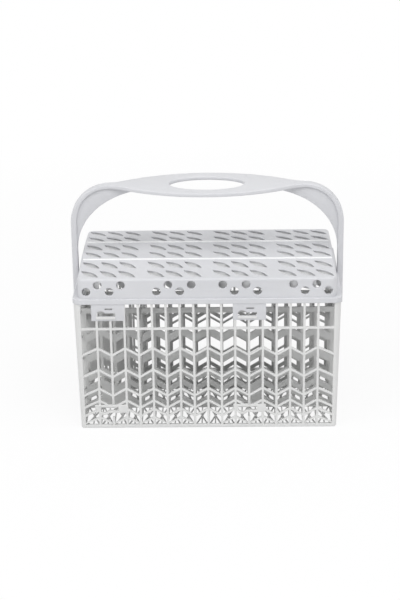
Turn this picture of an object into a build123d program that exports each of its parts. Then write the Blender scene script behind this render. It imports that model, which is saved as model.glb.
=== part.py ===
from build123d import *
import math
import os

# Dishwasher cutlery basket with a slotted lid and an upright carrying handle.
# Millimetres. Origin at the bottom centre, X along the length, front wall towards -Y, Z up.

# Basket body
rim_length = 240.0
rim_depth = 141.0
rim_height = 4.9
rim_overhang = 0.8
rim_corner = 7.0
body_height = 127.0
wall = 2.2
draft_per_side = 2.8
base_corner = 3.0
floor_thickness = 2.6
post_top = 6.2
post_foot = 4.2

# Lattice of the walls
rib_pitch = 12.35
rib_width = 2.1
bar_height = 2.1
long_wall_ribs = 17
base_frame = 3.4
straight_bar_z = 98.2
zigzag_rise = 6.1
zigzag_peaks = (78.7, 57.5, 38.8, 26.8)
side_zigzags = 3

# Hook pockets in the front wall
pocket_centres = (-88.5, 37.5)
pocket_width = 28.0
upper_pocket_height = 15.8
lower_pocket_foot = 13.2
lower_pocket_height = 10.2
hook_slot_length = 16.5
hook_slot_height = 3.4
hook_eye_radius = 3.6
hook_eye_facets = 10
hook_slot_inset = 4.4
hook_slot_sill = 3.9
lower_slot_lintel = 2.4
catch_slit_length = 7.0
catch_slit_height = 1.5
catch_slit_gap = 0.8
catch_slit_rise = 6.4
sill_reach = 1.0
sill_height = 1.4

# Compartment walls
divider_offset = 21.5
divider_rib_step = 2
divider_zigzags = 2
cross_wall_rib_step = 5
cross_wall_columns = 2
partition_thickness = 2.1
partition_top = straight_bar_z + bar_height / 2
window_frame = 4.0

# Floor openings
floor_columns = 6
floor_rib = 2.4
floor_diagonal = 2.2

# Lid
lid_end_inset = 5.0
lid_front_inset = 2.0
lid_wall = 2.0
skirt_height = 18.4
lid_rise = 2.8
middle_strip_depth = 48.0
lid_corner = 6.0
lid_edge_chamfer = 1.6
bead_radius = 1.0
bead_end_gap = 2.0
lip_height = 2.4
lip_thickness = 1.6
lip_clearance = 0.4

# Openings of the lid
slot_length = 22.2
slot_width = 7.2
slot_facets = 3
slot_angle = -44.0
slots_per_group = 3
slot_pitch = 16.5
slot_groups = 4
slot_group_pitch = 58.7
slot_row_gap = 20.0
drain_hole_diameter = 7.6
drain_hole_facets = 8
drain_holes_per_group = 4
drain_hole_pitch = 10.3
drain_hole_step = 6.1
drain_hole_low = 6.4
drain_group_inner = 29.4
drain_group_outer = 92.0

# Handle
handle_gap = 0.9
strap_thickness = 3.6
strap_width = 9.6
handle_top = 212.9
handle_corner = 42.0
grip_half_length = 88.0
grip_width = 66.0
grip_hole_length = 68.0
grip_hole_width = 40.6
web_thickness = 3.0
web_foot_z = 150.0
web_reach = 42.0
web_bulge = 0.32
foot_z = 98.0

# Handle fixing in the side walls
panel_rows = 2
peg_width = 9.0
peg_height = 7.0
peg_rise = 4.0
peg_clearance = 0.3
barb_height = 1.2
barb_length = 2.0

# Derived places
rim_foot = body_height - rim_height
wall_top_length = rim_length - 2 * rim_overhang
wall_top_depth = rim_depth - 2 * rim_overhang
base_length = wall_top_length - 2 * draft_per_side
base_depth = wall_top_depth - 2 * draft_per_side
draft_angle = math.degrees(math.atan2(draft_per_side, rim_foot))
lid_length = rim_length - 2 * lid_end_inset
lid_depth = rim_depth - 2 * lid_front_inset
lid_shoulder = body_height + skirt_height
lid_top = lid_shoulder + lid_rise
reach = 2 * rim_length
arm_inside = rim_length / 2 + handle_gap
arm_outside = arm_inside + strap_thickness
strap_underside = handle_top - strap_thickness
peg_z = foot_z + peg_rise + peg_height / 2


def wall_offset(z):
    """Outward lean of the outer wall face at a height, from the foot of the wall."""
    return draft_per_side * z / rim_foot


def tapered_block(inset, foot, top):
    """Block that leans outwards like the walls, set in by inset, with square corners inside."""
    lean = wall_offset(foot)
    length = base_length + 2 * (lean - inset)
    depth = base_depth + 2 * (lean - inset)
    outline = Rectangle(length, depth) if inset else RectangleRounded(length, depth, base_corner)
    return extrude(Plane.XY.offset(foot) * outline, amount=top - foot, taper=-draft_angle)


def post_edge(half_base, z):
    """Inner edge of a corner post at a height, measured from the middle of the wall."""
    post = post_foot + (post_top - post_foot) * z / rim_foot
    return half_base + wall_offset(z) - post


def bar_levels(zigzags):
    """Heights of each bar at a peak and at a valley, from the rim down to the base frame."""
    half_bar = bar_height / 2
    rim_line = (rim_foot + half_bar, rim_foot + half_bar)
    straight = (straight_bar_z, straight_bar_z)
    waves = [(peak, peak - zigzag_rise) for peak in zigzag_peaks[:zigzags]]
    foot_line = (base_frame - half_bar, base_frame - half_bar)
    return [rim_line, straight, *waves, foot_line]


def lattice_cells(ribs, half_base, zigzags, skip):
    """Four-cornered cells between ribs and bars, as polygons of place along the wall and height."""
    levels = bar_levels(zigzags)
    middle = len(ribs) // 2
    half_bar = bar_height / 2
    half_rib = rib_width / 2
    cells = []

    def height(level, number):
        peak, valley = levels[level]
        on_peak = 0 <= number < len(ribs) and (number - middle) % 2 == 0
        return peak if on_peak else valley

    def place(number, z):
        if number < 0:
            return -post_edge(half_base, z) - half_rib
        if number == len(ribs):
            return post_edge(half_base, z) + half_rib
        return ribs[number]

    for row in range(len(levels) - 1):
        for column in range(-1, len(ribs)):
            if skip(row, column):
                continue
            corners = []
            for level, lift in ((row + 1, half_bar), (row, -half_bar)):
                left_z = height(level, column) + lift
                right_z = height(level, column + 1) + lift
                left = place(column, left_z) + half_rib
                right = place(column + 1, right_z) - half_rib
                edge = [(left, left_z), (right, right_z)]
                corners += edge if lift > 0 else edge[::-1]
            cells.append(Polygon(*corners, align=None))
    return cells


def long_wall_openings():
    """Prisms along Y that open the front and the back wall with the same lattice."""
    count = long_wall_ribs
    ribs = [(number - count // 2) * rib_pitch for number in range(count)]
    cells = lattice_cells(ribs, base_length / 2, len(zigzag_peaks), lambda row, column: False)
    return [extrude(Plane.XZ * cell, amount=reach, both=True) for cell in cells]


def side_wall_openings():
    """Prisms along X that open both end walls, leaving the panel that holds the handle."""
    outer = (divider_offset + base_depth / 2 - post_foot) / 2
    ribs = [-outer, -divider_offset, 0, divider_offset, outer]
    panel_columns = (1, 2)

    def on_panel(row, column):
        return row < panel_rows and column in panel_columns

    cells = lattice_cells(ribs, base_depth / 2, side_zigzags, on_panel)
    return [extrude(Plane.YZ * cell, amount=reach, both=True) for cell in cells]


def floor_openings():
    """Triangles between the floor's cross ribs and diagonals, in one row per compartment row."""
    edge = base_depth / 2 - post_foot
    inner = divider_offset - floor_rib / 2
    outer = divider_offset + floor_rib / 2
    start = post_foot - base_length / 2
    pitch = -2 * start / floor_columns
    openings = []
    for low, high in ((-edge, -outer), (-inner, inner), (outer, edge)):
        for column in range(floor_columns):
            left = start + column * pitch + floor_rib / 2
            right = start + (column + 1) * pitch - floor_rib / 2
            slope = math.hypot(right - left, high - low)
            gap_x = floor_diagonal / 2 * slope / (high - low)
            gap_y = floor_diagonal / 2 * slope / (right - left)
            if column % 2:
                left, right = right, left
                gap_x = -gap_x
            first = Polygon((left + gap_x, low), (right, low), (right, high - gap_y), align=None)
            second = Polygon((left, low + gap_y), (right - gap_x, high), (left, high), align=None)
            for shape in (first, second):
                openings.append(extrude(shape, amount=floor_thickness, both=True))
    return openings


def divider_levels():
    """Heights of a divider's bars at a peak and at a valley, from its top bar down to its foot."""
    head = partition_top - window_frame / 2
    foot = base_frame + window_frame / 2
    waves = [(peak, peak - zigzag_rise) for peak in zigzag_peaks[:divider_zigzags]]
    return [(head, head), *waves, (foot, foot)]


def bar_line(level, left, right, at_end):
    """Middle line of a bar over one window, which dips between two peaks or falls to an end wall."""
    peak, valley = level
    if at_end:
        return [(left, peak), (right, valley)]
    if peak == valley:
        return [(left, peak), (right, peak)]
    return [(left, peak), ((left + right) / 2, valley), (right, peak)]


def long_dividers():
    """Two lengthwise compartment walls, with the walls' zigzag bars between every second rib."""
    pitch = divider_rib_step * rib_pitch
    height = partition_top - floor_thickness / 2
    plate = Pos(0, 0, floor_thickness / 2) * Box(
        reach, partition_thickness, height, align=(Align.CENTER, Align.CENTER, Align.MIN)
    )
    columns = math.floor((base_length / 2 - post_foot) / pitch)
    posts = [column * pitch for column in range(-columns, columns + 1)]
    posts.append(base_length / 2 - wall)
    half_bar = window_frame / 2
    levels = divider_levels()
    for head, foot in zip(levels, levels[1:]):
        for start, end in zip(posts, posts[1:]):
            at_end = end == posts[-1]
            left = start + half_bar
            right = end - half_bar
            upper = [(x, z - half_bar) for x, z in bar_line(head, left, right, at_end)]
            lower = [(x, z + half_bar) for x, z in bar_line(foot, left, right, at_end)]
            window = extrude(Plane.XZ * Polygon(*lower, *upper[::-1], align=None), amount=reach, both=True)
            plate -= window
            if at_end:
                plate -= mirror(window, Plane.YZ)
    return [Pos(0, side * divider_offset, 0) * plate for side in (-1, 1)]


def cross_walls():
    """Crosswise compartment walls on the middle rib and on the ribs between the lid's slot groups."""
    height = partition_top - floor_thickness / 2
    plate = Pos(0, 0, floor_thickness / 2) * Box(
        partition_thickness, reach, height, align=(Align.CENTER, Align.CENTER, Align.MIN)
    )
    edge = base_depth / 2 - wall
    foot = base_frame + window_frame
    head = partition_top - window_frame
    windows = []
    for start, end in ((-edge, -divider_offset), (-divider_offset, divider_offset), (divider_offset, edge)):
        step = (end - start) / cross_wall_columns
        for column in range(cross_wall_columns):
            window = Box(reach, step - window_frame, head - foot)
            windows.append(Pos(0, start + (column + 0.5) * step, (foot + head) / 2) * window)
    plate -= windows
    offset = cross_wall_rib_step * rib_pitch
    return [Pos(place, 0, 0) * plate for place in (-offset, 0, offset)]


def front_face(z):
    """Outer face of the front wall at a height."""
    return -(base_depth / 2 + wall_offset(z))


def hook_pockets():
    """Plates in the front wall and the slots cut in them, upper and lower ones as mirror images."""
    plates = []
    slots = []
    upper_foot = rim_foot - upper_pocket_height
    for centre in pocket_centres:
        left = centre - pocket_width / 2
        for foot, height in ((upper_foot, upper_pocket_height), (lower_pocket_foot, lower_pocket_height)):
            back = front_face(foot) + wall
            plate = Pos(centre, back, foot + height / 2) * Box(
                pocket_width, wall, height, align=(Align.CENTER, Align.MAX, Align.CENTER)
            )
            plates.append(plate)
        slot_start = left + hook_slot_inset
        sill = upper_foot + hook_slot_sill
        eye = slot_start + hook_eye_radius
        slot = Pos(slot_start + hook_slot_length / 2, sill + hook_slot_height / 2) * Rectangle(
            hook_slot_length, hook_slot_height
        )
        slot += Pos(eye, sill + hook_eye_radius / 2) * RegularPolygon(
            hook_eye_radius, hook_eye_facets, major_radius=False
        )
        slot &= Pos(eye, sill) * Rectangle(reach, reach, align=(Align.CENTER, Align.MIN))
        slit_start = slot_start + 2 * hook_eye_radius + catch_slit_gap
        slit = Pos(slit_start, sill + catch_slit_rise) * Rectangle(
            catch_slit_length, catch_slit_height, align=(Align.MIN, Align.MIN)
        )
        lintel = lower_pocket_foot + lower_pocket_height - lower_slot_lintel
        lower = mirror(Pos(0, -sill) * slot, Plane.XZ)
        lower = Pos(0, lintel) * lower
        for shape in (slot, slit, lower):
            slots.append(extrude(Plane.XZ * shape, amount=reach))
        ledge = Pos(slot_start + hook_slot_length / 2, front_face(sill) + wall, sill) * Box(
            hook_slot_length, wall + sill_reach, sill_height, align=(Align.CENTER, Align.MAX, Align.MAX)
        )
        plates.append(ledge)
    return plates, slots


def basket_body():
    """One moulding: leaning lattice walls, floor, rim, compartment walls and hook pockets."""
    outside = tapered_block(0, 0, rim_foot)
    inside = tapered_block(wall, floor_thickness, body_height)
    body = outside - inside
    body -= long_wall_openings()
    body -= side_wall_openings()
    body -= floor_openings()
    rim = extrude(
        Plane.XY.offset(rim_foot) * RectangleRounded(rim_length, rim_depth, rim_corner), amount=rim_height
    )
    lip_length = lid_length - 2 * (lid_wall + lip_clearance)
    lip_depth = lid_depth - 2 * (lid_wall + lip_clearance)
    lip_corner = lid_corner - lid_wall - lip_clearance
    lip = Plane.XY.offset(rim_foot) * RectangleRounded(lip_length, lip_depth, lip_corner)
    mouth = Plane.XY.offset(rim_foot) * RectangleRounded(
        lip_length - 2 * lip_thickness, lip_depth - 2 * lip_thickness, lip_corner - lip_thickness
    )
    rim += extrude(lip, amount=rim_height + lip_height)
    body += rim - extrude(mouth, amount=rim_height + lip_height)
    core = tapered_block(wall / 2, floor_thickness / 2, rim_foot)
    body += [plate & core for plate in (*long_dividers(), *cross_walls())]
    plates, slots = hook_pockets()
    body += plates
    body -= slots
    peg_slot = Box(reach, peg_width + 2 * peg_clearance, peg_height + 2 * peg_clearance)
    body -= Pos(0, 0, peg_z) * peg_slot
    return body


def lid_profile(inset):
    """Cross-section of the lid, flat in the middle and falling to the front and the back."""
    half = lid_depth / 2 - inset
    flat = middle_strip_depth / 2
    points = [
        (-half, body_height),
        (-half, lid_shoulder - inset),
        (-flat, lid_top - inset),
        (flat, lid_top - inset),
        (half, lid_shoulder - inset),
        (half, body_height),
    ]
    return extrude(Plane.YZ * Polygon(*points, align=None), amount=lid_length / 2 - inset, both=True)


def leaf(length, width, facets):
    """Pointed oval with each bowed side in a few straight facets."""
    tip = length / 2
    bulge = width / 2
    radius = (tip**2 + bulge**2) / (2 * bulge)
    half_turn = math.asin(tip / radius)
    turns = [half_turn * (2 * number / facets - 1) for number in range(facets + 1)]
    side = [(radius * math.sin(turn), radius * math.cos(turn) - radius + bulge) for turn in turns]
    other_side = [(-x, -y) for x, y in side[1:-1]]
    return Polygon(*reversed(side + other_side), align=None)


def lens(length, width):
    """Pointed oval made of two arcs."""
    tip = length / 2
    bulge = width / 2
    upper = ThreePointArc((-tip, 0), (0, bulge), (tip, 0))
    lower = ThreePointArc((tip, 0), (0, -bulge), (-tip, 0))
    return make_face([upper, lower])


def cutlery_slots():
    """Slanting slots in the lid's top, two rows on each of the three strips."""
    slot = Rot(0, 0, slot_angle) * leaf(slot_length, slot_width, slot_facets)
    outer_strip = (lid_depth / 2 + middle_strip_depth / 2) / 2
    slots = []
    for strip in (-outer_strip, 0, outer_strip):
        for row in (-1, 1):
            y = strip + row * slot_row_gap / 2
            for group in range(slot_groups):
                group_x = (group - (slot_groups - 1) / 2) * slot_group_pitch
                for number in range(slots_per_group):
                    x = group_x + (number - (slots_per_group - 1) / 2) * slot_pitch
                    cutter = extrude(Plane.XY.offset(body_height) * slot, amount=body_height)
                    slots.append(Pos(x, y, 0) * cutter)
    return slots


def drain_holes():
    """Round holes in a zigzag along the front of the skirt."""
    holes = []
    for side in (-1, 1):
        for group in (drain_group_inner, drain_group_outer):
            for number in range(drain_holes_per_group):
                from_middle = (number - (drain_holes_per_group - 1) / 2) * drain_hole_pitch
                low = number % 2
                z = body_height + drain_hole_low + (0 if low else drain_hole_step)
                outline = Pos(side * (group + from_middle), z) * RegularPolygon(
                    drain_hole_diameter / 2, drain_hole_facets
                )
                holes.append(extrude(Plane.XZ * outline, amount=reach))
    return holes


def lid():
    """Lid seated on the rim, with a locating lip inside the basket's mouth."""
    outside = lid_profile(0)
    outside = fillet(outside.edges().filter_by(Axis.Z), lid_corner)
    top_faces = outside.faces().filter_by(lambda face: face.normal_at().Z > 0.5)
    folds = outside.edges().filter_by(Axis.X).group_by(Axis.Z)[-1]
    crown = [edge for edge in top_faces.edges() if edge not in folds]
    outside = chamfer(crown, lid_edge_chamfer)
    inside = lid_profile(lid_wall)
    inside = fillet(inside.edges().filter_by(Axis.Z), lid_corner - lid_wall)
    shell = outside - inside
    shell -= cutlery_slots()
    shell -= drain_holes()
    bead_length = lid_length - 2 * bead_end_gap
    for side in (-1, 1):
        bead = Cylinder(bead_radius, bead_length, rotation=(0, 90, 0))
        shell += Pos(0, side * middle_strip_depth / 2, lid_top) * bead
    return shell


def strap_profile():
    """Side view of the strap: two upright arms with round shoulders and a flat top."""
    outer = Pos(0, foot_z) * Rectangle(
        2 * arm_outside, handle_top - foot_z, align=(Align.CENTER, Align.MIN)
    )
    outer = fillet(outer.vertices().group_by(Axis.Y)[-1], handle_corner)
    inner = Pos(0, foot_z) * Rectangle(
        2 * arm_inside, strap_underside - foot_z, align=(Align.CENTER, Align.MIN)
    )
    inner = fillet(inner.vertices().group_by(Axis.Y)[-1], handle_corner - strap_thickness)
    return outer, inner


def shoulder_web(inner):
    """Crescent gussets that stiffen the strap's shoulders."""
    foot = (arm_inside, web_foot_z)
    head = (web_reach, strap_underside)
    chord = math.hypot(foot[0] - head[0], foot[1] - head[1])
    middle = ((foot[0] + head[0]) / 2, (foot[1] + head[1]) / 2)
    normal = ((head[1] - foot[1]) / chord, (foot[0] - head[0]) / chord)
    sag = web_bulge * chord / 2
    crest = (middle[0] + normal[0] * sag, middle[1] + normal[1] * sag)
    arc = ThreePointArc(foot, crest, head)
    back = Polyline(head, (arm_inside, strap_underside), foot)
    gusset = make_face([arc, back]) & inner
    return gusset + mirror(gusset, Plane.YZ)


def handle():
    """One moulding: strap, wide grip, shoulder webs and the pegs that snap into the end walls."""
    outer, inner = strap_profile()
    strap = extrude(Plane.XZ * (outer - inner), amount=strap_width / 2, both=True)
    grip_plane = Plane.XY.offset(strap_underside)
    grip_plan = lens(2 * grip_half_length, grip_width)
    hole_plan = Ellipse(grip_hole_length / 2, grip_hole_width / 2)
    grip = extrude(grip_plane * grip_plan, amount=strap_thickness)
    hole = extrude(grip_plane * hole_plan, amount=strap_thickness)
    web = extrude(Plane.XZ * shoulder_web(inner), amount=web_thickness / 2, both=True)
    body = strap + web + grip - hole
    wall_face = base_length / 2 + wall_offset(peg_z)
    barb_face = wall_face - wall - peg_clearance - wall_offset(peg_height)
    for side in (-1, 1):
        peg_end = barb_face - barb_length
        peg = Pos(side * (peg_end + arm_inside) / 2, 0, peg_z) * Box(
            arm_inside - peg_end, peg_width, peg_height
        )
        barb = Pos(side * (peg_end + barb_length / 2), 0, peg_z - barb_height / 2) * Box(
            barb_length, peg_width, peg_height + barb_height
        )
        body += peg
        body += barb
    return body


os.makedirs("parts", exist_ok=True)
export_step(basket_body(), "parts/basket_body.step")
export_step(lid(), "parts/lid.step")
export_step(handle(), "parts/handle.step")
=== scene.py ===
import bpy
import bmesh
import math
from mathutils import Matrix, Vector


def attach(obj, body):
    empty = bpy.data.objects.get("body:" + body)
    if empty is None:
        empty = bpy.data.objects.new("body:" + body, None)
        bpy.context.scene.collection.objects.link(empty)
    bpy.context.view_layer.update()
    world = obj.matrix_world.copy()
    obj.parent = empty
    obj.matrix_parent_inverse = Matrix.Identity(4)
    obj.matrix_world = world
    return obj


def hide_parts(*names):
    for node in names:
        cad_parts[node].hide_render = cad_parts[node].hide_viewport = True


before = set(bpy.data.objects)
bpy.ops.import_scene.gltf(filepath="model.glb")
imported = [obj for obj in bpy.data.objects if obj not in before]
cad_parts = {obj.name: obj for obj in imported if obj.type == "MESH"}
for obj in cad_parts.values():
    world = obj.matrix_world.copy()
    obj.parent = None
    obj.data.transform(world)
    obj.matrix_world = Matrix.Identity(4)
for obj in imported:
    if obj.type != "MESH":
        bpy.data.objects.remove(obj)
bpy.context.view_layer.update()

mm = 0.001   # pieces are drawn in millimetres and shrunk when they are added
standing = Matrix.Rotation(math.radians(90), 4, "X")     # turns a flat drawing upright, to face the front


# helpers shared by the pieces

def addObject(name, data):
    thing = bpy.data.objects.new(name, data)
    bpy.context.scene.collection.objects.link(thing)
    return thing


def addPiece(name, mesh, material, node=None):
    mesh.transform(Matrix.Scale(mm, 4))
    mesh.name = name
    piece = addObject(name, mesh)
    mesh.materials.clear()
    mesh.materials.append(material)
    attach(piece, "root")
    if node:
        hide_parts(node)
    return piece


def meshFrom(bm):
    bmesh.ops.recalc_face_normals(bm, faces=bm.faces[:])
    mesh = bpy.data.meshes.new("draft")
    bm.to_mesh(mesh)
    bm.free()
    return mesh


def softenEdges(piece, width, segments=2, angle=35):
    bevel = piece.modifiers.new("softEdges", "BEVEL")
    bevel.width = width * mm
    bevel.segments = segments
    bevel.limit_method = "ANGLE"
    bevel.angle_limit = math.radians(angle)
    bevel.harden_normals = True
    bevel.use_clamp_overlap = True
    for face in piece.data.polygons:
        face.use_smooth = True


def smoothBelow(mesh, angle):
    for face in mesh.polygons:
        face.use_smooth = True
    mesh.set_sharp_from_angle(angle=math.radians(angle))


def roundEdges(bm, edges, offset, segments):
    bmesh.ops.bevel(bm, geom=edges, offset=offset, segments=segments, profile=0.5, affect="EDGES")


# flat plate with holes: a filled 2D curve gives the rounded edges
def plateMesh(outlines, thick, rounding, matrix, steps=2):
    curve = bpy.data.curves.new("plateDraft", "CURVE")
    curve.dimensions = "2D"
    curve.fill_mode = "BOTH"
    curve.extrude = thick / 2 - rounding
    curve.bevel_depth = rounding
    curve.bevel_resolution = steps
    curve.offset = -rounding
    for points in outlines:
        spline = curve.splines.new("POLY")
        spline.points.add(len(points) - 1)
        for point, (x, y) in zip(spline.points, points):
            point.co = (x, y, 0, 1)
        spline.use_cyclic_u = True
    holder = addObject("plateDraft", curve)
    mesh = bpy.data.meshes.new_from_object(holder)
    bpy.data.objects.remove(holder)
    bpy.data.curves.remove(curve)
    mesh.transform(matrix)
    return mesh


def joinMeshes(meshes, weld=0.002):
    bm = bmesh.new()
    for mesh in meshes:
        bm.from_mesh(mesh)
        bpy.data.meshes.remove(mesh)
    bmesh.ops.remove_doubles(bm, verts=bm.verts[:], dist=weld)
    return meshFrom(bm)


def boxOutline(left, right, low, high):
    return [(left, low), (right, low), (right, high), (left, high)]


def arcPoints(centre, radius, first, last, steps):
    points = []
    for step in range(steps + 1):
        turn = first + (last - first) * step / steps
        points.append((centre[0] + radius * math.cos(turn), centre[1] + radius * math.sin(turn)))
    return points


def ovalPoints(a, b, count):
    turns = [math.tau * i / count for i in range(count)]
    return [(a * math.cos(turn), b * math.sin(turn)) for turn in turns]


# one closed loop of points on a rounded rectangle
def roundedLoop(halfLength, halfDepth, corner, z, steps):
    loop = []
    for sx, sy, start in ((1, -1, -90), (1, 1, 0), (-1, 1, 90), (-1, -1, 180)):
        for step in range(steps + 1):
            turn = math.radians(start + 90 * step / steps)
            x = sx * (halfLength - corner) + corner * math.cos(turn)
            y = sy * (halfDepth - corner) + corner * math.sin(turn)
            loop.append((x, y, z))
    return loop


def skinLoops(bm, loops, closed):
    rings = [[bm.verts.new(point) for point in loop] for loop in loops]
    pairs = list(zip(rings, rings[1:]))
    if closed:
        pairs.append((rings[-1], rings[0]))
    for low, high in pairs:
        count = len(low)
        for i in range(count):
            j = (i + 1) % count
            bm.faces.new((low[i], low[j], high[j], high[i]))
    return rings


def skinRod(bm, loops):
    rings = skinLoops(bm, loops, False)
    bm.faces.new(rings[0])
    bm.faces.new(rings[-1])


# outline grown outwards by each flare step, skinned into a cutter that leaves a rounded edge
def flaredCutter(bm, outlineAt, heights, matrix):
    loops = []
    for z, grow in heights:
        loops.append([matrix @ Vector((x, y, z)) for x, y in outlineAt(grow)])
    rings = skinLoops(bm, loops, False)
    bm.faces.new(rings[0][::-1])
    bm.faces.new(rings[-1])


# rounded lip of a hole: runs straight below the face, then opens out and stands a little proud
def flareSteps(depth, flare, steps=4, proud=0.8):
    heights = [(-depth, 0)]
    for step in range(steps + 1):
        turn = math.radians(90 * step / steps)
        heights.append((-flare + flare * math.sin(turn), flare * (1 - math.cos(turn))))
    heights.append((proud, flare))
    return heights


# cuts the holes and keeps the finished mesh in place of the modifiers
def cutHoles(piece, cutterMesh, material, smooth):
    cutterMesh.transform(Matrix.Scale(mm, 4))
    cutter = addObject("cutterDraft", cutterMesh)
    cut = piece.modifiers.new("holes", "BOOLEAN")
    cut.object = cutter
    cut.operation = "DIFFERENCE"
    cut.solver = "EXACT"
    graph = bpy.context.evaluated_depsgraph_get()
    finished = bpy.data.meshes.new_from_object(piece.evaluated_get(graph))
    piece.modifiers.clear()
    piece.data = finished
    finished.materials.clear()
    finished.materials.append(material)
    bpy.data.objects.remove(cutter)
    smoothBelow(finished, smooth)


# plastic: one satin finish in several tones

plasticLook = {
    "pale": (0.655, 0.660, 0.683),
    "deep": (0.620, 0.626, 0.650),
    "roughness": (0.36, 0.46),
    "cloudSize": 26.0,
    "cloudDetail": 4.0,
    "cloudSpan": (0.3, 0.68),
    "grainSize": 1500.0,
    "grainDetail": 2.0,
    "grainDepth": 0.05,
    "grainHeight": 0.0002,
    "ior": 1.49,
    "specular": 0.4,
}

# the thin lattice is painted paler: painted light standing in for the light that comes through its thin bars and
# the white surroundings caught on their edges
latticePaintedLightLook = {
    **plasticLook,
    "pale": (0.735, 0.737, 0.730),
    "deep": (0.700, 0.703, 0.697),
}

# slot collars, thinner still, painted near white, and the lid's beads in the same tone: painted light in the
# slots and a painted highlight along the beads
collarPaintedLightLook = {
    **plasticLook,
    "pale": (0.93, 0.932, 0.937),
    "deep": (0.90, 0.902, 0.908),
}

# the compartment walls and the floor are painted a little deeper than the lattice: painted shade for the inside
# of the basket
dividerPaintedShadeLook = {
    **plasticLook,
    "pale": (0.675, 0.678, 0.671),
    "deep": (0.640, 0.643, 0.637),
}

# the handle is a little glossier than the lid
handleLook = {
    **plasticLook,
    "pale": (0.662, 0.666, 0.689),
    "deep": (0.630, 0.635, 0.658),
    "roughness": (0.34, 0.44),
}


def greyPlastic(name, look):
    material = bpy.data.materials.new(name)
    material.use_nodes = True
    nodes = material.node_tree.nodes
    links = material.node_tree.links
    shader = nodes["Principled BSDF"]
    coords = nodes.new("ShaderNodeTexCoord")
    cloud = nodes.new("ShaderNodeTexNoise")
    cloud.inputs["Scale"].default_value = look["cloudSize"]
    cloud.inputs["Detail"].default_value = look["cloudDetail"]
    tint = nodes.new("ShaderNodeValToRGB")
    for element, position, tone in zip(tint.color_ramp.elements, look["cloudSpan"], ("deep", "pale")):
        element.position = position
        element.color = (*look[tone], 1)
    gloss = nodes.new("ShaderNodeMapRange")
    gloss.inputs["To Min"].default_value = look["roughness"][0]
    gloss.inputs["To Max"].default_value = look["roughness"][1]
    grain = nodes.new("ShaderNodeTexNoise")
    grain.inputs["Scale"].default_value = look["grainSize"]
    grain.inputs["Detail"].default_value = look["grainDetail"]
    bump = nodes.new("ShaderNodeBump")
    bump.inputs["Strength"].default_value = look["grainDepth"]
    bump.inputs["Distance"].default_value = look["grainHeight"]
    links.new(coords.outputs["Object"], cloud.inputs["Vector"])
    links.new(coords.outputs["Object"], grain.inputs["Vector"])
    links.new(cloud.outputs["Fac"], tint.inputs["Fac"])
    links.new(tint.outputs["Color"], shader.inputs["Base Color"])
    links.new(grain.outputs["Fac"], gloss.inputs["Value"])
    links.new(gloss.outputs["Result"], shader.inputs["Roughness"])
    links.new(grain.outputs["Fac"], bump.inputs["Height"])
    links.new(bump.outputs["Normal"], shader.inputs["Normal"])
    shader.inputs["IOR"].default_value = look["ior"]
    shader.inputs["Specular IOR Level"].default_value = look["specular"]
    return material


plastic = greyPlastic("greyPlastic", plasticLook)
dividerPaintedShadePlastic = greyPlastic("dividerPaintedShadePlastic", dividerPaintedShadeLook)
handlePlastic = greyPlastic("handlePlastic", handleLook)
latticePaintedLightPlastic = greyPlastic("latticePaintedLightPlastic", latticePaintedLightLook)
collarPaintedLightPlastic = greyPlastic("collarPaintedLightPlastic", collarPaintedLightLook)
print("plastic ready")


# basket walls: one lattice sheet that runs round all four sides

walls = {
    "baseLength": 232.8,
    "baseDepth": 133.8,
    "lean": 2.8,            # each side, from the foot up to the rim
    "rimFoot": 122.1,
    "baseCorner": 3.0,
    "cornerSteps": 5,
    "thick": 2.2,
    "postFoot": 4.2,
    "postTop": 6.2,
    "ribPitch": 12.35,
    "ribWidth": 2.1,
    "ribCount": 17,
    "sideRibs": 21.5,       # the ribs where the long dividers meet the end walls
    "barHeight": 2.1,
    "barGap": 0.6,          # least gap under a bar, so that the soft edges have room
    "baseFrame": 3.4,
    "footRound": 1.2,
    "footSteps": 3,
    "back": (1.8, 1.5),     # the back wall's base frame, and how much lower its bars are
    "backGap": 0.1,         # least step between its rows
    "straightBar": 98.2,
    "zigzagPeaks": (78.7, 57.5, 38.8, 26.8, 18.4, 10.1),
    "zigzagRise": 6.1,
    "edge": 0.32,
}

# cells that differ from the plain lattice; rows count from the base frame up, and even rows are bars
latticeCells = {
    "lowestZigzag": 2,
    "shortColumns": (7, 8),                                    # front columns without the lowest zigzag
    "pocketRibs": {1: (4, 5, 6, 15), 11: (4, 5, 6, 15)},       # rows of two ribs that the hook pockets take out
    "pocketRow": 4,
    "pocketBars": {(0, 1), (1, 2), (10, 11), (11, 12)},        # bars between two ribs, in that row
    "panelRow": 13,
    "panelColumns": (1, 2),                                    # end panels that carry the handle
}


def leanAt(z):
    return walls["lean"] * z / walls["rimFoot"]


def longRibs():
    middle = walls["ribCount"] // 2
    return [(number - middle) * walls["ribPitch"] for number in range(walls["ribCount"])]


def endRibs():
    outer = (walls["sideRibs"] + walls["baseDepth"] / 2 - walls["postFoot"]) / 2
    return [-outer, -walls["sideRibs"], 0, walls["sideRibs"], outer]


# bar edges at a peak or a valley, from the floor up
def barEdges(onPeak):
    half = walls["barHeight"] / 2
    edges = [0, walls["baseFrame"]]
    for peak in reversed(walls["zigzagPeaks"]):
        z = peak if onPeak else peak - walls["zigzagRise"]
        edges += [max(z - half, edges[-1] + walls["barGap"]), z + half]
    edges += [walls["straightBar"] - half, walls["straightBar"] + half, walls["rimFoot"]]
    return edges


# the same edges in the back wall, where the bars lie lower
def backEdges(edges):
    foot, drop = walls["back"]
    lowered = [max(z - drop, foot + walls["backGap"] * k) for k, z in enumerate(edges[2:-1], 1)]
    return [0, foot] + lowered + edges[-1:]


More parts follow.
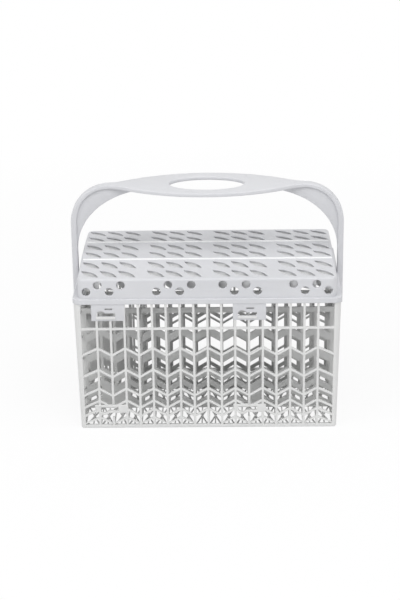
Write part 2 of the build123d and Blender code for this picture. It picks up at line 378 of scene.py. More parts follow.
# column lines round the basket: wall number, place along it, peak or valley, solid up to the next line
def columnLines():
    lines = []
    for wall in range(4):
        ribs = longRibs() if wall % 2 == 0 else endRibs()
        half = walls["ribWidth"] / 2
        middle = len(ribs) // 2
        lines.append({"wall": wall, "post": -1, "peak": False, "solid": False})
        for number, rib in enumerate(ribs):
            peak = (number - middle) % 2 == 0
            lines.append({"wall": wall, "at": rib - half, "peak": peak, "solid": True, "rib": number})
            lines.append({"wall": wall, "at": rib + half, "peak": peak, "solid": False, "rib": number})
        lines.append({"wall": wall, "post": 1, "peak": False, "solid": True})
        for step in range(walls["cornerSteps"] + 1):
            lines.append({"wall": wall, "arc": step / walls["cornerSteps"], "peak": False, "solid": True})
    return lines


# outer and inner point of a column line at a height; each wall is drawn as the front and turned to its side
def sheetPoint(line, z):
    odd = line["wall"] % 2
    along = walls["baseDepth" if odd else "baseLength"] / 2 + leanAt(z)
    out = walls["baseLength" if odd else "baseDepth"] / 2 + leanAt(z)
    corner = walls["baseCorner"] + leanAt(z)
    thick = walls["thick"]
    if "arc" in line:
        turn = math.radians(90 * line["arc"])
        reach = Vector((math.sin(turn), -math.cos(turn)))
        centre = Vector((along - corner, corner - out))
        outer = centre + corner * reach
        inner = centre + (corner - thick) * reach
    else:
        if "post" in line:
            post = walls["postFoot"] + (walls["postTop"] - walls["postFoot"]) * z / walls["rimFoot"]
            place = line["post"] * (along - post)
        else:
            place = line["at"]
        outer = Vector((place, -out))
        inner = Vector((place, thick - out))
    spin = Matrix.Rotation(math.radians(90 * line["wall"]), 2)
    outer, inner = spin @ outer, spin @ inner
    return (outer.x, outer.y, z), (inner.x, inner.y, z)


def cellIsSolid(line, nextLine, row):
    wall, rib, solid = line["wall"], line.get("rib"), line["solid"]
    lowest = row == latticeCells["lowestZigzag"] and not solid
    if wall == 0 and solid and row in latticeCells["pocketRibs"].get(rib, ()):
        return False
    if wall == 0 and not solid and row == latticeCells["pocketRow"]:
        if (rib, nextLine.get("rib")) in latticeCells["pocketBars"]:
            return False
    if lowest and (wall == 2 or (wall == 0 and rib in latticeCells["shortColumns"])):
        return False
    if solid or row % 2 == 0:
        return True
    return wall % 2 == 1 and row >= latticeCells["panelRow"] and rib in latticeCells["panelColumns"]


def buildWalls():
    lines = columnLines()
    peakRows, valleyRows = barEdges(True), barEdges(False)
    count = len(lines)
    rows = len(peakRows)
    bm = bmesh.new()
    outer, inner = {}, {}
    for i, line in enumerate(lines):
        heights = peakRows if line["peak"] else valleyRows
        if line["wall"] == 2:
            heights = backEdges(heights)
        for j in range(rows):
            a, b = sheetPoint(line, heights[j])
            outer[i, j] = bm.verts.new(a)
            inner[i, j] = bm.verts.new(b)
    solid = {}
    for i in range(count):
        for j in range(rows - 1):
            solid[i, j] = cellIsSolid(lines[i], lines[(i + 1) % count], j)
    for (i, j), full in solid.items():
        if not full:
            continue
        k = (i + 1) % count
        bm.faces.new((outer[i, j], outer[k, j], outer[k, j + 1], outer[i, j + 1]))
        bm.faces.new((inner[i, j], inner[i, j + 1], inner[k, j + 1], inner[k, j]))
        # sides towards open cells
        if not solid.get((i, j - 1)):
            bm.faces.new((outer[i, j], inner[i, j], inner[k, j], outer[k, j]))
        if not solid.get((i, j + 1)):
            bm.faces.new((outer[i, j + 1], outer[k, j + 1], inner[k, j + 1], inner[i, j + 1]))
        if not solid[(i - 1) % count, j]:
            bm.faces.new((outer[i, j], outer[i, j + 1], inner[i, j + 1], inner[i, j]))
        if not solid[k, j]:
            bm.faces.new((outer[k, j], inner[k, j], inner[k, j + 1], outer[k, j + 1]))
    loose = [vert for vert in bm.verts if not vert.link_faces]
    bmesh.ops.delete(bm, geom=loose, context="VERTS")
    feet = {outer[i, 0] for i in range(count)}
    footEdges = [edge for edge in bm.edges if feet.issuperset(edge.verts)]
    roundEdges(bm, footEdges, walls["footRound"], walls["footSteps"])
    # the walls take the lattice's paler tone, which is painted light
    piece = addPiece("basketWalls", meshFrom(bm), latticePaintedLightPlastic, "basket_body")
    softenEdges(piece, walls["edge"])
    print("walls", len(piece.data.polygons), "faces")


buildWalls()


# rim with the lip that the lid sits over

rim = {
    "length": 240.0,
    "depth": 141.0,
    "corner": 7.0,
    "foot": 122.1,
    "top": 127.0,
    "lipTop": 129.4,
    "lipLength": 225.2,
    "lipDepth": 132.2,
    "lipCorner": 3.6,
    "lipThick": 1.6,
    "cornerSteps": 7,
    "edge": 0.7,
    "edgeSteps": 3,
    "edgeAngle": 50,
}


def buildRim():
    halfLength, halfDepth = rim["length"] / 2, rim["depth"] / 2
    lipLength, lipDepth = rim["lipLength"] / 2, rim["lipDepth"] / 2
    thin = rim["lipThick"]
    stations = (
        (halfLength, halfDepth, rim["corner"], rim["foot"]),
        (halfLength, halfDepth, rim["corner"], rim["top"]),
        (lipLength, lipDepth, rim["lipCorner"], rim["top"]),
        (lipLength, lipDepth, rim["lipCorner"], rim["lipTop"]),
        (lipLength - thin, lipDepth - thin, rim["lipCorner"] - thin, rim["lipTop"]),
        (lipLength - thin, lipDepth - thin, rim["lipCorner"] - thin, rim["foot"]),
    )
    bm = bmesh.new()
    skinLoops(bm, [roundedLoop(*station, rim["cornerSteps"]) for station in stations], True)
    piece = addPiece("basketRim", meshFrom(bm), plastic)
    softenEdges(piece, rim["edge"], rim["edgeSteps"], rim["edgeAngle"])
    print("rim done")


buildRim()


# floor: a frame on the divider lines, and thinner stars of spokes between the ribs

floorPlate = {
    "thick": 2.6,
    "inset": 0.6,           # from the outside of the walls
    "corner": 2.4,
    "cornerSteps": 4,
    "border": 4.2,
    "rib": 2.0,
    "starThick": 1.4,
    "starRib": 1.2,
    "spoke": 1.1,
    "leastSlant": 0.2,
    "step": 0.12,           # keeps the two plates' side faces apart, which render black where they meet
    "edge": 0.25,
    "smooth": 40,
}


# hole between two spokes: the spoke sides move in by the gap, and the outer side stays on the rib
def spokeHole(centre, a, b, gap):
    sideA = (a - centre).normalized()
    sideB = (b - centre).normalized()
    half = sideA.angle(sideB) / 2
    tip = centre + (sideA + sideB).normalized() * gap / math.sin(half)
    edge = (b - a).normalized()
    cornerA = a + edge * gap / max(abs(sideA.cross(edge)), floorPlate["leastSlant"])
    cornerB = b - edge * gap / max(abs(sideB.cross(edge)), floorPlate["leastSlant"])
    return [tuple(tip), tuple(cornerA), tuple(cornerB)]


# six holes between the spokes of one field
def starHoles(left, right, low, high):
    centre = Vector(((left + right) / 2, (low + high) / 2))
    corners = [Vector(point) for point in boxOutline(left, right, low, high)]
    middles = [(corners[0] + corners[1]) / 2, (corners[2] + corners[3]) / 2]
    ring = [corners[0], middles[0], corners[1], corners[2], middles[1], corners[3]]
    gap = floorPlate["spoke"] / 2
    return [spokeHole(centre, a, b, gap) for a, b in zip(ring, ring[1:] + ring[:1])]


def buildFloor():
    halfLength, halfDepth = walls["baseLength"] / 2, walls["baseDepth"] / 2
    inset, border, step = floorPlate["inset"], floorPlate["border"], floorPlate["step"]
    loop = roundedLoop(halfLength - inset, halfDepth - inset, floorPlate["corner"], 0, floorPlate["cornerSteps"])
    outline = [point[:2] for point in loop]
    endX, endY = halfLength - border, halfDepth - border
    near = walls["sideRibs"] - floorPlate["rib"] / 2
    far = walls["sideRibs"] + floorPlate["rib"] / 2
    thin = floorPlate["starRib"] / 2
    lines = [-endX - thin] + longRibs() + [endX + thin]
    frameHoles, stars = [], []
    for low, high in ((-endY, -far), (-near, near), (far, endY)):
        frameHoles.append(boxOutline(-endX, endX, low, high))
        for left, right in zip(lines, lines[1:]):
            stars += starHoles(left + thin, right - thin, low + step, high - step)
    meshes = []
    for holes, thick in ((frameHoles, floorPlate["thick"]), (stars, floorPlate["starThick"])):
        place = Matrix.Translation((0, 0, thick / 2))
        meshes.append(plateMesh([outline] + holes, thick, floorPlate["edge"], place, steps=1))
    # the floor takes the deeper divider tone, which is painted shade
    piece = addPiece("basketFloor", joinMeshes(meshes), dividerPaintedShadePlastic)
    smoothBelow(piece.data, floorPlate["smooth"])
    print("floor", len(piece.data.polygons), "faces")


buildFloor()


# compartment walls: two long dividers and three cross walls

partitions = {
    "offset": 21.5,
    "thick": 2.1,
    "top": 100.2,
    "foot": 1.3,
    "bite": 0.4,                       # how far the ends reach into the basket's walls
    "endGap": (1.0, 0.6),              # from the walls to the windows, in the dividers and the cross walls
    "rib": 2.6,
    "topBar": 5.0,
    # bar peaks, then each bar's reach above and below its line; the front divider has the taller bars
    "bars": {
        -1: ((78.7, 57.5, 38.8, 26.8, 18.4, 10.1), (2.1,) * 6, (5.9, 5.9, 5.9, 3.9, 2.6, 2.6)),
        1: ((80.1, 57.5, 38.8, 26.8, 18.4, 10.1), (1.9,) * 6, (1.9,) * 6),
    },
    # row and column of the windows that are closed
    "closed": {
        -1: {(row, column) for row in (4, 5) for column in (1, 2, 12)},
        1: {(row, column) for row in (1, 2, 3) for column in (0, 1, 2)},
    },
    "crossAt": (-61.75, 0.0, 61.75),
    "crossFrame": 3.4,
    "crossRib": 3.0,
    "crossColumns": 3,
    "crossBars": 4,
    "crossBarHalf": 1.3,
    "edge": 0.3,
    "smooth": 40,
}


# zigzag windows of a long divider
def dividerHoles(side):
    ribs = longRibs()
    edge = walls["baseLength"] / 2 - walls["thick"] - partitions["endGap"][0]
    places = [-edge] + ribs + [edge]
    head = partitions["top"] - partitions["topBar"]
    levels = [(head, head, 0, 0)]
    for peak, above, below in zip(*partitions["bars"][side]):
        levels.append((peak, peak - walls["zigzagRise"], above, below))
    middle = len(ribs) // 2 + 1
    half = partitions["rib"] / 2
    holes = []
    for row in range(len(levels) - 1):
        upper, lower = levels[row], levels[row + 1]
        for column in range(len(places) - 1):
            if (row, column) in partitions["closed"][side]:
                continue
            left, right = places[column] + half, places[column + 1] - half
            lows, highs = [], []
            for number in (column, column + 1):
                pick = (number - middle) % 2             # 0 on a peak, 1 in a valley
                lows.append(lower[pick] + lower[2])
                highs.append(upper[pick] - upper[3])
            holes.append([(left, lows[0]), (right, lows[1]), (right, highs[1]), (left, highs[0])])
    return holes


# square windows of a cross wall
def crossHoles():
    edge = walls["baseDepth"] / 2 - walls["thick"] - partitions["endGap"][1]
    offset, columns = partitions["offset"], partitions["crossColumns"]
    rib, bar = partitions["crossRib"] / 2, partitions["crossBarHalf"]
    peaks = walls["zigzagPeaks"][:partitions["crossBars"]]
    middles = [peak - walls["zigzagRise"] / 2 for peak in reversed(peaks)]
    levels = [partitions["crossFrame"]] + middles + [partitions["top"]]
    holes = []
    for start, end in ((-edge, -offset), (-offset, offset), (offset, edge)):
        step = (end - start) / columns
        for column in range(columns):
            left = start + column * step + rib
            right = start + (column + 1) * step - rib
            for low, high in zip(levels, levels[1:]):
                holes.append(boxOutline(left, right, low + bar, high - bar))
    return holes


# leans with the basket's walls
def partitionMesh(baseSize, holes, place):
    foot, top = partitions["foot"], partitions["top"]
    low = baseSize / 2 - walls["thick"] + leanAt(foot) + partitions["bite"]
    high = baseSize / 2 - walls["thick"] + leanAt(top) + partitions["bite"]
    outline = [(-low, foot), (low, foot), (high, top), (-high, top)]
    return plateMesh([outline] + holes, partitions["thick"], partitions["edge"], place, steps=1)


def buildPartitions():
    meshes = []
    for side in (-1, 1):
        place = Matrix.Translation((0, side * partitions["offset"], 0)) @ standing
        meshes.append(partitionMesh(walls["baseLength"], dividerHoles(side), place))
    crosswise = Matrix.Rotation(math.radians(90), 4, "Z") @ standing
    for x in partitions["crossAt"]:
        place = Matrix.Translation((x, 0, 0)) @ crosswise
        meshes.append(partitionMesh(walls["baseDepth"], crossHoles(), place))
    # the compartment walls take the deeper divider tone, which is painted shade
    piece = addPiece("compartmentWalls", joinMeshes(meshes), dividerPaintedShadePlastic)
    smoothBelow(piece.data, partitions["smooth"])
    print("compartment walls", len(piece.data.polygons), "faces")


buildPartitions()


# hook pockets in the front wall

pockets = {
    "centres": (-88.5, 37.5),
    "width": 29.6,
    "upper": (106.3, 122.4),
    "lower": (13.2, 23.4),
    "thick": 2.6,
    "slotLength": 17.0,
    "slotHeight": 3.4,
    "slotInset": 4.3,
    "eyeRadius": 4.1,
    "eyeLift": 1.4,
    "eyeSteps": 16,
    "upperSill": 110.2,
    "lowerLintel": 21.0,
    "slit": (-0.4, 6.4, 6.8, 1.8),     # gap after the eye, rise, length, height
    "ledge": (1.0, 2.2, 0.35),         # reach, height, edge
    "border": 2.1,                     # round the eye and the slot of the lower plates
    "borderStart": 25,                 # degrees below the level, at the left of the eye
    "cut": 1.5,                        # slanting right corner of the lower plates
    "stub": (1.0, 3.0),                # overlap with the upper plate, height where it meets the wall's face
    "edge": 0.3,
    "smooth": 40,
}


def frontFace(z):
    return -(walls["baseDepth"] / 2 + leanAt(z))


# slot with a half round eye at its left end; up is 1, or -1 where it hangs from the lintel
def hookSlot(start, sill, up):
    radius, lift = pockets["eyeRadius"], pockets["eyeLift"]
    end, height = start + pockets["slotLength"], pockets["slotHeight"]
    first = math.asin((height - lift) / radius)
    last = math.pi + math.asin(lift / radius)
    eye = arcPoints((start + radius, lift), radius, first, last, pockets["eyeSteps"])
    return [(x, sill + up * z) for x, z in [(end, 0), (end, height)] + eye]


# lower plates follow the eye and the slot with an even border
def lowerOutline(left, right, start):
    head, border, cut = pockets["lower"][1], pockets["border"], pockets["cut"]
    radius = pockets["eyeRadius"] + border
    middle = pockets["lowerLintel"] - pockets["eyeLift"]
    foot = pockets["lowerLintel"] - pockets["slotHeight"] - border
    first = -math.pi + math.radians(pockets["borderStart"])
    last = math.asin((foot - middle) / radius)
    eye = arcPoints((start + pockets["eyeRadius"], middle), radius, first, last, pockets["eyeSteps"])
    return [(left, head), (left, middle)] + eye + [(right - cut, foot), (right, foot + cut), (right, head)]


# stands a plate in the leaning front wall, between two heights
def platePlace(foot, head):
    lean = math.atan2(walls["lean"], walls["rimFoot"])
    middle = (foot + head) / 2
    place = Matrix.Translation((0, frontFace(middle) + walls["thick"] / 2, middle))
    return place @ Matrix.Rotation(math.radians(90) + lean, 4, "X") @ Matrix.Translation((0, -middle, 0))


def buildPockets():
    thick, edge = pockets["thick"], pockets["edge"]
    sill, lintel = pockets["upperSill"], pockets["lowerLintel"]
    plates, paleParts = [], []
    for centre in pockets["centres"]:
        left, right = centre - pockets["width"] / 2, centre + pockets["width"] / 2
        start = left + pockets["slotInset"]
        gap, rise, length, height = pockets["slit"]
        slitLeft, slitFoot = start + 2 * pockets["eyeRadius"] + gap, sill + rise
        slit = boxOutline(slitLeft, slitLeft + length, slitFoot, slitFoot + height)
        upper = [boxOutline(left, right, *pockets["upper"]), hookSlot(start, sill, 1), slit]
        plates.append(plateMesh(upper, thick, edge, platePlace(*pockets["upper"])))
        lower = [lowerOutline(left, right, start), hookSlot(start, lintel, -1)]
        paleParts.append(plateMesh(lower, thick, edge, platePlace(*pockets["lower"])))
        reach, height, ledgeEdge = pockets["ledge"]
        ledge = boxOutline(start, start + pockets["slotLength"], 0, walls["thick"] + reach)
        place = Matrix.Translation((0, frontFace(sill) - reach, sill - height / 2))
        paleParts.append(plateMesh([ledge], height, ledgeEdge, place))
    # short ribs under the upper plates
    overlap, meets = pockets["stub"]
    half, foot, head = walls["ribWidth"] / 2, walls["straightBar"], pockets["upper"][0] + overlap
    for number in latticeCells["pocketRibs"]:
        rib = longRibs()[number]
        stub = boxOutline(rib - half, rib + half, foot, head)
        place = Matrix.Translation((0, frontFace(foot + meets) + walls["thick"] / 2, 0)) @ standing
        paleParts.append(plateMesh([stub], walls["thick"], edge, place, steps=1))
    # the lower plates, ledges and stubs take the lattice's paler tone, which is painted light
    for name, parts, material in (("hookPockets", plates, plastic), ("hookLedges", paleParts, latticePaintedLightPlastic)):
        piece = addPiece(name, joinMeshes(parts), material)
        smoothBelow(piece.data, pockets["smooth"])
    print("hook pockets done")


buildPockets()


# lid

lid = {
    "length": 230.0,
    "depth": 137.0,
    "foot": 127.0,
    "shoulder": 145.4,
    "top": 148.2,
    "stripDepth": 48.0,
    "wall": 2.0,
    "corner": (6.0, 7),                # radius and steps
    "edge": (2.0, 4),
    "uprightLeast": 10.0,              # edges that rise more than this are the upright corners
    "slotLength": 22.2,
    "slotWidth": 7.2,
    "slotAngle": -44.0,
    "slotPitch": 16.5,
    "slotGroups": 4,
    "groupPitch": 58.7,
    "rowGap": 20.0,
    "slotFlare": 0.6,
    "cutDepth": 6.0,
    "holeDiameter": 7.6,
    "holePoints": 28,
    "holePitch": 10.3,
    "holesPerGroup": 4,
    "holeRows": (139.5, 133.4),        # the first is the one nearest to the middle
    "holeGroups": (29.4, 92.0),
    "holeFlare": 0.5,
    "smooth": 32,
}

collars = {
    "wall": 1.2,
    "head": 0.8,                       # below the face
    "depth": 13.0,
    "edge": 0.3,
    "smooth": 35,
}

beads = {
    "radius": 1.0,
    "points": 16,
    "gap": 2.0,
    "ends": ((0.0, 0.3), (0.3, 0.8), (0.8, 1.0)),     # way in from the end, share of the radius
    "smooth": 50,
}


def leafOutline(length, width, steps=9):
    tip, bulge = length / 2, width / 2
    radius = (tip ** 2 + bulge ** 2) / (2 * bulge)
    half = math.asin(tip / radius)
    side = []
    for step in range(steps + 1):
        turn = half * (1 - 2 * step / steps)
        side.append((radius * math.sin(turn), radius * math.cos(turn) - radius + bulge))
    return side + [(-x, -y) for x, y in side[1:-1]]


def slotOutline(grow):
    return leafOutline(lid["slotLength"] + 2 * grow, lid["slotWidth"] + 2 * grow)


def holeOutline(grow):
    radius = lid["holeDiameter"] / 2 + grow
    return ovalPoints(radius, radius, lid["holePoints"])


# edge between the top and a side
def onCrown(edge):
    tops = [face.normal.z > 0.5 for face in edge.link_faces]
    return len(tops) == 2 and tops[0] != tops[1]


# outer skin, open below
def lidSkin():
    half, flat = lid["depth"] / 2, lid["stripDepth"] / 2
    front = [(-half, lid["foot"]), (-half, lid["shoulder"]), (-flat, lid["top"])]
    profile = front + [(-y, z) for y, z in reversed(front)]
    bm = bmesh.new()
    ends = []
    for x in (-lid["length"] / 2, lid["length"] / 2):
        ends.append([bm.verts.new((x, y, z)) for y, z in profile])
    bm.faces.new(ends[0][::-1])
    bm.faces.new(ends[1])
    for i in range(len(profile) - 1):
        bm.faces.new((ends[0][i], ends[0][i + 1], ends[1][i + 1], ends[1][i]))
    bmesh.ops.recalc_face_normals(bm, faces=bm.faces[:])
    upright = [e for e in bm.edges if abs(e.verts[0].co.z - e.verts[1].co.z) > lid["uprightLeast"]]
    roundEdges(bm, upright, *lid["corner"])
    for face in bm.faces:
        face.normal_update()
    roundEdges(bm, [e for e in bm.edges if onCrown(e)], *lid["edge"])
    return meshFrom(bm)


# where each slot lies on its strip
def slotPlaces():
    half, flat = lid["depth"] / 2, lid["stripDepth"] / 2
    fall = math.atan2(lid["top"] - lid["shoulder"], half - flat)
    turn = Matrix.Rotation(math.radians(lid["slotAngle"]), 4, "Z")
    groups = lid["slotGroups"]
    places = []
    for strip in (-1, 0, 1):
        y = strip * (half + flat) / 2
        z = lid["top"] if strip == 0 else (lid["top"] + lid["shoulder"]) / 2
        onStrip = Matrix.Translation((0, y, z)) @ Matrix.Rotation(-strip * fall, 4, "X")
        for row in (-1, 1):
            for group in range(groups):
                for number in (-1, 0, 1):
                    x = (group - (groups - 1) / 2) * lid["groupPitch"] + number * lid["slotPitch"]
                    places.append(onStrip @ Matrix.Translation((x, row * lid["rowGap"] / 2, 0)) @ turn)
    return places


# where each round hole lies on the front of the skirt
def holePlaces():
    count = lid["holesPerGroup"]
    places = []
    for side in (-1, 1):
        for group in lid["holeGroups"]:
            for number in range(count):
                x = side * (group + (number - (count - 1) / 2) * lid["holePitch"])
                z = lid["holeRows"][number % 2]
                places.append(Matrix.Translation((x, -lid["depth"] / 2, z)) @ standing)
    return places


def lidCutters():
    bm = bmesh.new()
    for place in slotPlaces():
        flaredCutter(bm, slotOutline, flareSteps(lid["cutDepth"], lid["slotFlare"]), place)
    for place in holePlaces():
        flaredCutter(bm, holeOutline, flareSteps(lid["cutDepth"], lid["holeFlare"]), place)
    return meshFrom(bm)


# short sleeve under every slot
def collarMesh():
    wall, head, depth, edge = (collars[key] for key in ("wall", "head", "depth", "edge"))
    outside = [(0.0, -head), (wall, -head), (wall, edge - depth), (wall - edge, -depth)]
    section = outside + [(edge, -depth), (0.0, edge - depth)]
    bm = bmesh.new()
    for place in slotPlaces():
        loops = []
        for grow, z in section:
            loops.append([place @ Vector((x, y, z)) for x, y in slotOutline(grow)])
        skinLoops(bm, loops, True)
    return meshFrom(bm)


# raised lines between the strips
def beadMesh():
    reach = lid["length"] / 2 - beads["gap"]
    start = [(inset - reach, share) for inset, share in beads["ends"]]
    stations = start + [(-x, share) for x, share in reversed(start)]
    bm = bmesh.new()
    for side in (-1, 1):
        loops = []
        for x, share in stations:
            ring = ovalPoints(beads["radius"] * share, beads["radius"] * share, beads["points"])
            loops.append([(x, side * lid["stripDepth"] / 2 + across, lid["top"] + up) for across, up in ring])
        skinRod(bm, loops)
    return meshFrom(bm)


def buildLid():
    piece = addPiece("lidShell", lidSkin(), plastic, "lid")
    thickness = piece.modifiers.new("wallThickness", "SOLIDIFY")
    thickness.thickness = lid["wall"] * mm
    thickness.offset = -1
    cutHoles(piece, lidCutters(), plastic, lid["smooth"])
    print("lid", len(piece.data.polygons), "faces")
    # the beads take the near white collar tone: a painted highlight along them
    piece = addPiece("lidBeads", beadMesh(), collarPaintedLightPlastic)
    smoothBelow(piece.data, beads["smooth"])
    # the collars' near white tone is painted light inside the slots
    piece = addPiece("lidCollars", collarMesh(), collarPaintedLightPlastic)
    smoothBelow(piece.data, collars["smooth"])
    print("beads and collars done")


buildLid()


# handle

handle = {
    "armOutside": 124.5,
    "thick": (3.6, 5.2),               # grip and arms
    "width": 9.6,
    "top": 212.9,
    "corner": 36.0,
    "foot": 98.0,
    "steps": (8, 14, 48),              # along an arm, round a shoulder, along the grip
    "gripHalf": 88.0,
    "gripWidth": 66.0,
    "gripBlend": 3.0,                  # softens the start of the grip
    "holeLength": 68.0,
    "holeWidth": 40.6,
    "holePoints": 72,
    "holeFlare": 1.3,
    "holeSteps": 5,
    "rounding": (1.3, 0.5),            # outside and inside edges
    "roundingSteps": 4,
    "smooth": 40,
}

webs = {
    "thick": 6.4,
    "foot": 147.0,
    "reach": 38.0,
    "power": 2.2,                      # fuller than an ellipse
    "bite": 0.8,                       # reaches a little into the strap
    "steps": (32, 12),                 # inner and outer curve
    "edge": 0.5,
    "smooth": 40,
}

pegs = {
    "width": 9.0,
    "height": 7.0,
    "middle": 105.5,
    "gap": 0.3,                        # behind the wall
    "bite": 0.6,                       # into the arm
    "barb": (2.0, 1.2),                # length and drop
    "slant": (1.2, 1.5),
    "edge": 0.3,
}


def gripHalfWidth(x):
    tip, bulge = handle["gripHalf"], handle["gripWidth"] / 2
    if abs(x) >= tip:
        return 0
    radius = (tip ** 2 + bulge ** 2) / (2 * bulge)
    return math.sqrt(radius ** 2 - x ** 2) - radius + bulge


# stations along the strap: place, outward normal, half width
def strapStations():
    outside, corner, foot, top = (handle[key] for key in ("armOutside", "corner", "foot", "top"))
    armSteps, cornerSteps, gripSteps = handle["steps"]
    slim = handle["width"] / 2
    side = []
    for step in range(armSteps + 1):
        z = foot + (top - corner - foot) * step / armSteps
        side.append(((-outside, z), (-1, 0), slim))
    for step in range(1, cornerSteps + 1):
        turn = math.radians(180 - 90 * step / cornerSteps)
        nx, nz = math.cos(turn), math.sin(turn)
        side.append(((corner - outside + corner * nx, top - corner + corner * nz), (nx, nz), slim))
    reach = outside - corner
    grip = []
    for step in range(1, gripSteps):
        x = -reach + 2 * reach * step / gripSteps
        wide = gripHalfWidth(x)
        blend = math.sqrt((wide - slim) ** 2 + handle["gripBlend"] ** 2)
        grip.append(((x, top), (0, 1), (wide + slim + blend) / 2 if wide else slim))
    mirrored = [((-x, z), (-nx, nz), wide) for (x, z), (nx, nz), wide in reversed(side)]
    return side + grip + mirrored


# thin across the grip, stouter down the shoulders
def strapThick(z):
    thin, stout = handle["thick"]
    share = min(max((handle["top"] - z) / handle["corner"], 0), 1)
    return thin + (stout - thin) * share * share * (3 - 2 * share)


def strapMesh():
    steps = handle["roundingSteps"]
    loops = []
    for (x, z), (nx, nz), wide in strapStations():
        wide = min(wide, handle["gripWidth"] / 2)
        thick = strapThick(z)
        loop = []
        for sy, sn, start in ((1, 1, 0), (-1, 1, 90), (-1, -1, 180), (1, -1, 270)):
            rounding = handle["rounding"][0 if sn > 0 else 1]
            for step in range(steps + 1):
                turn = math.radians(start + 90 * step / steps)
                across = sy * (wide - rounding) + rounding * math.cos(turn)
                out = -thick / 2 + sn * (thick / 2 - rounding) + rounding * math.sin(turn)
                loop.append((x + nx * out, across, z + nz * out))
        loops.append(loop)
    bm = bmesh.new()
    skinRod(bm, loops)
    return meshFrom(bm)


def handHole(grow):
    return ovalPoints(handle["holeLength"] / 2 + grow, handle["holeWidth"] / 2 + grow, handle["holePoints"])


# flared above and below
def gripCutter():
    thick = handle["thick"][0]
    upper = flareSteps(thick / 2, handle["holeFlare"], handle["holeSteps"])[1:]
    lower = [(-thick - z, grow) for z, grow in reversed(upper)]
    bm = bmesh.new()
    flaredCutter(bm, handHole, lower + upper, Matrix.Translation((0, 0, handle["top"])))
    return meshFrom(bm)


# crescent in the shoulder, between a full curve inside and the strap outside
def webMesh(side):
    outside, top, corner = handle["armOutside"], handle["top"], handle["corner"]
    thin, stout = handle["thick"]
    foot, reach, bite = webs["foot"], webs["reach"], webs["bite"]
    innerSteps, outerSteps = webs["steps"]
    long, tall = outside - stout - reach, top - thin - foot
    power = 2 / webs["power"]
    points = []
    for step in range(innerSteps + 1):
        turn = math.radians(90 * step / innerSteps)
        points.append((reach + long * math.cos(turn) ** power, foot + tall * math.sin(turn) ** power))
    points.append((reach, top - thin + bite))
    points += arcPoints((outside - corner, top - corner), corner - thin + bite, math.pi / 2, 0, outerSteps)
    points.append((outside - thin + bite, foot))
    points = [(side * x, z) for x, z in points]
    return plateMesh([points], webs["thick"], webs["edge"], standing)


# goes through the end panel, with a barb behind it
def pegMesh(side):
    high, z = pegs["height"], pegs["middle"]
    low, top = z - high / 2, z + high / 2
    length, drop = pegs["barb"]
    slantX, slantZ = pegs["slant"]
    inside = walls["baseLength"] / 2 + leanAt(z) - walls["thick"] - pegs["gap"] - leanAt(high)
    end = inside - length
    root = handle["armOutside"] - handle["thick"][0] + pegs["bite"]
    points = [(end, low - drop), (inside, low - drop), (inside, low), (root, low)]
    points += [(root, top), (end + slantX, top), (end, top - slantZ)]
    points = [(side * x, h) for x, h in points]
    return plateMesh([points], pegs["width"], pegs["edge"], standing, steps=1)


def buildHandle():
    strap = addPiece("handleStrap", strapMesh(), handlePlastic, "handle")
    cutHoles(strap, gripCutter(), handlePlastic, handle["smooth"])
    parts = [webMesh(-1), webMesh(1), pegMesh(-1), pegMesh(1)]
    piece = addPiece("handleWebs", joinMeshes(parts), handlePlastic)
    smoothBelow(piece.data, webs["smooth"])
    print("handle", len(strap.data.polygons), "faces")


buildHandle()


# floor, light and camera

studio = {
    "floor": (0.92, 0.92, 0.925),
    "floorSize": 8,
    "floorRoughness": 0.9,
    "floorSpecular": 0.1,
    "floorGlow": (0.88, 1.0, 0.25, 0.9),         # near, far, and the two distances
    "worldLight": 0.52,
    "key": (11.0, 1.0, (0.35, -1.3, 1.9)),       # watts, size, place
    "right": (10.5, 1.4, (0.9, -0.6, 2.0)),
    "left": (12.0, 1.2, (-1.1, -0.9, 1.6)),
    "aim": (0, 0, 0.1),
}


def mathNode(nodes, links, operation, first, second):
    node = nodes.new("ShaderNodeMath")
    node.operation = operation
    links.new(first, node.inputs[0])
    links.new(second, node.inputs[1])
    return node.outputs[0]


# 1 where the camera sees it, straight on, mirrored or through something
def seenByCamera(nodes, links):
    path = nodes.new("ShaderNodeLightPath").outputs
    seen = mathNode(nodes, links, "MAXIMUM", path["Is Camera Ray"], path["Is Glossy Ray"])
    return mathNode(nodes, links, "MAXIMUM", seen, path["Is Transmission Ray"])


def mixShaders(nodes, links, share, first, second):
    mix = nodes.new("ShaderNodeMixShader")
    links.new(share, mix.inputs["Fac"])
    links.new(first, mix.inputs[1])
    links.new(second, mix.inputs[2])
    return mix.outputs["Shader"]


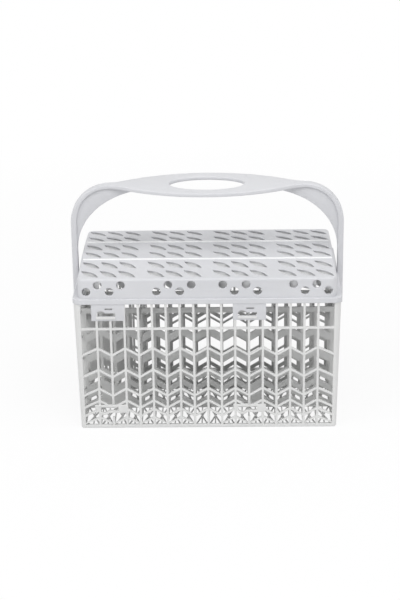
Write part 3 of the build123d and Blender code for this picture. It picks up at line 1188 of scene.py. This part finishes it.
# paper that turns white away from the basket and keeps its shadow
def buildGround():
    bm = bmesh.new()
    bmesh.ops.create_grid(bm, x_segments=1, y_segments=1, size=studio["floorSize"])
    ground = addObject("studioFloor", meshFrom(bm))
    paper = bpy.data.materials.new("studioPaper")
    paper.use_nodes = True
    nodes, links = paper.node_tree.nodes, paper.node_tree.links
    shader = nodes["Principled BSDF"]
    shader.inputs["Base Color"].default_value = (*studio["floor"], 1)
    shader.inputs["Roughness"].default_value = studio["floorRoughness"]
    shader.inputs["Specular IOR Level"].default_value = studio["floorSpecular"]
    glow = nodes.new("ShaderNodeEmission")
    coords = nodes.new("ShaderNodeTexCoord")
    away = nodes.new("ShaderNodeVectorMath")
    away.operation = "LENGTH"
    reach = nodes.new("ShaderNodeMapRange")
    for socket, value in zip(("To Min", "To Max", "From Min", "From Max"), studio["floorGlow"]):
        reach.inputs[socket].default_value = value
    links.new(coords.outputs["Object"], away.inputs[0])
    links.new(away.outputs["Value"], reach.inputs["Value"])
    share = mathNode(nodes, links, "MULTIPLY", seenByCamera(nodes, links), reach.outputs["Result"])
    mixed = mixShaders(nodes, links, share, shader.outputs["BSDF"], glow.outputs["Emission"])
    links.new(mixed, nodes["Material Output"].inputs["Surface"])
    ground.data.materials.append(paper)


# soft light all round, and plain white behind
def buildWorld():
    world = bpy.data.worlds.new("studioWorld")
    bpy.context.scene.world = world
    world.use_nodes = True
    nodes, links = world.node_tree.nodes, world.node_tree.links
    light = nodes["Background"]
    light.inputs["Color"].default_value = (1, 1, 1, 1)
    light.inputs["Strength"].default_value = studio["worldLight"]
    backdrop = nodes.new("ShaderNodeBackground")
    backdrop.inputs["Color"].default_value = (1, 1, 1, 1)
    seen = seenByCamera(nodes, links)
    mixed = mixShaders(nodes, links, seen, light.outputs["Background"], backdrop.outputs["Background"])
    links.new(mixed, nodes["World Output"].inputs["Surface"])


def buildLamps():
    for name in ("key", "right", "left"):
        power, size, place = studio[name]
        lamp = bpy.data.lights.new(name + "Lamp", "AREA")
        lamp.energy = power
        lamp.size = size
        holder = addObject(name + "Lamp", lamp)
        holder.location = place
        aim = Vector(studio["aim"]) - Vector(place)
        holder.rotation_euler = aim.to_track_quat("-Z", "Y").to_euler()


buildGround()
buildWorld()
buildLamps()
print("studio done")

shot = {
    "distance": 1598.95,
    "elevation": 20.84,
    "yaw": -1.074,
    "roll": 0.826,
    "lens": 100.85,
    "sensor": 36,
    "across": -7.572,
    "upward": 92.827,
}


def placeCamera():
    e, a = math.radians(shot["elevation"]), math.radians(shot["yaw"])
    forward = Vector((math.sin(a) * math.cos(e), math.cos(a) * math.cos(e), -math.sin(e)))
    right = Vector((math.cos(a), -math.sin(a), 0))
    up = right.cross(forward)
    eye = right * shot["across"] + up * shot["upward"] - forward * shot["distance"]
    turn = Matrix((right, up, -forward)).transposed().to_4x4()
    roll = Matrix.Rotation(math.radians(-shot["roll"]), 4, "Z")
    camera = bpy.data.cameras.new("photoCamera")
    camera.lens = shot["lens"]
    camera.sensor_width = shot["sensor"]
    holder = addObject("photoCamera", camera)
    holder.matrix_world = Matrix.Translation(eye * mm) @ turn @ roll
    bpy.context.scene.camera = holder


placeCamera()
bpy.context.scene.view_settings.view_transform = "Standard"
